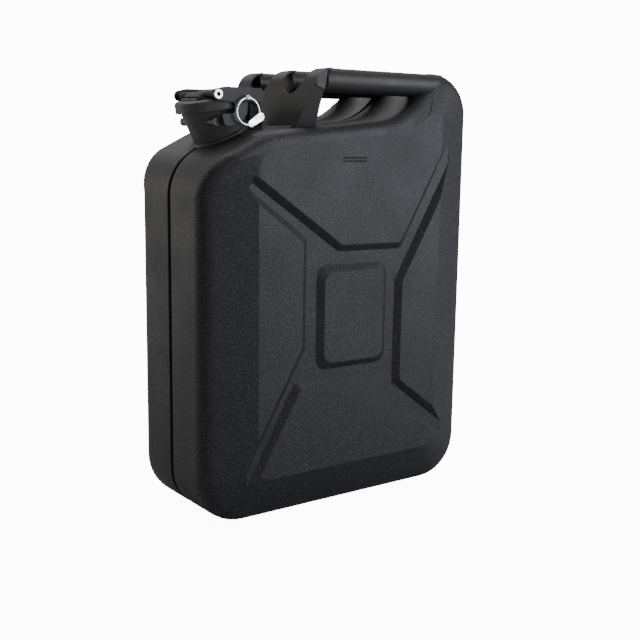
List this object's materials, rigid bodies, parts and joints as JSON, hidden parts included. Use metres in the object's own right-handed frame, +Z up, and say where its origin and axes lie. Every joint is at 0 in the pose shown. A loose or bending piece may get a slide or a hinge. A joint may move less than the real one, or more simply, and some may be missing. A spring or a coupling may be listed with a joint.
{
  "type": "metal jerry can",
  "caption": "Pressed steel fuel can with a pressed cross on each face, tube grips, a tilted neck, a hinged cap with a locking lever, and a safety pin on a ring.",
  "frame": {"origin": "under the middle of the base", "axes": "+Z up, the front face looks to -Y, the neck is at -X and the hump at +X"},
  "size_m": [0.345, 0.165, 0.464],
  "materials": {
    "body_paint": "black textured powder coat",
    "seam_paint": "black paint in a deep groove",
    "handle_paint": "black satin powder coat",
    "closure_paint": "black satin powder coat",
    "lever_paint": "black satin powder coat",
    "gasket_rubber": "matt rubber",
    "rivet_steel": "bright zinc",
    "ring_steel": "bright plated steel"
  },
  "bodies": {
    "can": {"front_shell": "body_paint", "rear_shell": "body_paint", "seam_weld": "seam_paint", "neck": "closure_paint", "neck_lugs": "closure_paint", "hinge_bracket": "closure_paint", "hinge_pin": "closure_paint", "handle_plate": "handle_paint", "front_grip": "handle_paint", "middle_grip": "handle_paint", "rear_grip": "handle_paint"},
    "cap": {"cap_shell": "closure_paint", "cap_gasket": "gasket_rubber", "cap_knuckle": "closure_paint", "cap_channel": "closure_paint", "lever_rivet": "rivet_steel"},
    "lever": {"locking_lever": "lever_paint"},
    "pin": {"safety_pin": "ring_steel"},
    "ring": {"pull_ring": "ring_steel", "ring_tag": "ring_steel"}
  },
  "joints": [
    {"name": "cap_hinge", "type": "hinge", "parent": "can", "child": "cap", "pos_m": [-0.07897, 0, 0.42834], "axis": [0, 1, 0], "range_deg": [0, 100]},
    {"name": "lever_pivot", "type": "hinge", "parent": "cap", "child": "lever", "pos_m": [-0.13877, 0, 0.43284], "axis": [0, 1, 0], "range_deg": [-115, 0]},
    {"name": "pin_slide", "type": "slide", "parent": "lever", "child": "pin", "axis": [0, -1, 0], "range_m": [0, 0.012]},
    {"name": "ring_swing", "type": "hinge", "parent": "pin", "child": "ring", "pos_m": [-0.10677, -0.044, 0.42984], "axis": [1, 0, 0], "range_deg": [-80, 0]}
  ]
}
